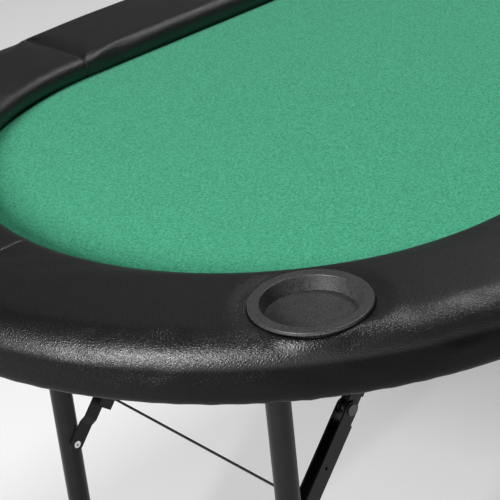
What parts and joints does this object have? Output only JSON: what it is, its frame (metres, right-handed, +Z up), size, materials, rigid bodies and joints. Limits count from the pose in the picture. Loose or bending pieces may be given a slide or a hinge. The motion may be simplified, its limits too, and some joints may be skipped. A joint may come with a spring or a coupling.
{
  "type": "poker table",
  "caption": "Oval poker table with a felt playing top, a padded rail with recessed cup holders, and two folding tubular leg frames with toggle braces.",
  "frame": {"origin": "middle of the table at floor level, under the centre of the oval top", "axes": "+X along the table's length to the right, +Y to the back, +Z up"},
  "size_m": [1.829, 0.914, 0.7402],
  "materials": {
    "green_felt": "felt",
    "rail_leather": "pebble grain",
    "foam": "foam",
    "black_board": "painted",
    "plywood": "raw",
    "cup_plastic": "fine texture",
    "leg_paint": "satin powder coat",
    "brace_paint": "satin powder coat",
    "rivet_steel": "bright",
    "zinc_steel": "zinc plated",
    "pin_steel": "blackened",
    "foot_rubber": "matt"
  },
  "bodies": {
    "table_top": {"base_board": "black_board", "edge_frame": "black_board", "rail_boards": "plywood", "felt_underlay": "foam", "felt_cloth": "green_felt", "rail_foam_left_front": "foam", "rail_foam_left_back": "foam", "rail_foam_right_front": "foam", "rail_foam_right_back": "foam", "rail_foam_front": "foam", "rail_foam_back": "foam", "rail_cover_left_front": "rail_leather", "rail_cover_left_back": "rail_leather", "rail_cover_right_front": "rail_leather", "rail_cover_right_back": "rail_leather", "rail_cover_front": "rail_leather", "rail_cover_back": "rail_leather", "cup_holder_1": "cup_plastic", "cup_holder_2": "cup_plastic", "cup_holder_3": "cup_plastic", "cup_holder_4": "cup_plastic", "cup_holder_5": "cup_plastic", "cup_holder_6": "cup_plastic", "cup_holder_7": "cup_plastic", "cup_holder_8": "cup_plastic", "cover_staples": "zinc_steel", "rail_screws": "zinc_steel", "bracket_screws": "zinc_steel", "brace_pins": "pin_steel", "hinge_brackets": "brace_paint", "brace_brackets": "brace_paint"},
    "leg_frame_left": {"leg_tube_left_front": "leg_paint", "leg_tube_left_back": "leg_paint", "foot_cap_left_front": "foot_rubber", "foot_cap_left_back": "foot_rubber", "hinge_tube_left": "leg_paint", "cross_tube_left": "leg_paint", "leg_rivets_left": "rivet_steel"},
    "upper_links_left": {"upper_link_left_front": "brace_paint", "upper_link_left_back": "brace_paint"},
    "lower_links_left": {"lower_link_left_front": "brace_paint", "lower_link_left_back": "brace_paint", "knee_pins_left": "pin_steel", "brace_rivets_left": "rivet_steel", "tie_rod_left": "brace_paint"},
    "leg_frame_right": {"leg_tube_right_front": "leg_paint", "leg_tube_right_back": "leg_paint", "foot_cap_right_front": "foot_rubber", "foot_cap_right_back": "foot_rubber", "hinge_tube_right": "leg_paint", "cross_tube_right": "leg_paint", "leg_rivets_right": "rivet_steel"},
    "upper_links_right": {"upper_link_right_front": "brace_paint", "upper_link_right_back": "brace_paint"},
    "lower_links_right": {"lower_link_right_front": "brace_paint", "lower_link_right_back": "brace_paint", "knee_pins_right": "pin_steel", "brace_rivets_right": "rivet_steel", "tie_rod_right": "brace_paint"}
  },
  "joints": [
    {"name": "leg_fold_left", "type": "hinge", "parent": "table_top", "child": "leg_frame_left", "pos_m": [-0.6545, 0, 0.6495], "axis": [0, -1, 0], "range_deg": [0, 90]},
    {"name": "brace_fold_left", "type": "hinge", "parent": "table_top", "child": "upper_links_left", "pos_m": [-0.4015, 0, 0.6495], "axis": [0, -1, 0], "range_deg": [0, 130.82]},
    {"name": "knee_fold_left", "type": "hinge", "parent": "upper_links_left", "child": "lower_links_left", "pos_m": [-0.54107, 0, 0.48786], "axis": [0, 1, 0], "range_deg": [0, 180.01]},
    {"name": "leg_fold_right", "type": "hinge", "parent": "table_top", "child": "leg_frame_right", "pos_m": [0.6545, 0, 0.6495], "axis": [0, 1, 0], "range_deg": [0, 90]},
    {"name": "brace_fold_right", "type": "hinge", "parent": "table_top", "child": "upper_links_right", "pos_m": [0.4015, 0, 0.6495], "axis": [0, 1, 0], "range_deg": [0, 130.82]},
    {"name": "knee_fold_right", "type": "hinge", "parent": "upper_links_right", "child": "lower_links_right", "pos_m": [0.54107, 0, 0.48786], "axis": [0, -1, 0], "range_deg": [0, 180.01]}
  ],
  "couplings": [
    {"joint": "brace_fold_left", "follows": "leg_fold_left", "ratio": 1.4534},
    {"joint": "knee_fold_left", "follows": "leg_fold_left", "ratio": 2},
    {"joint": "brace_fold_right", "follows": "leg_fold_right", "ratio": 1.4534},
    {"joint": "knee_fold_right", "follows": "leg_fold_right", "ratio": 2}
  ]
}
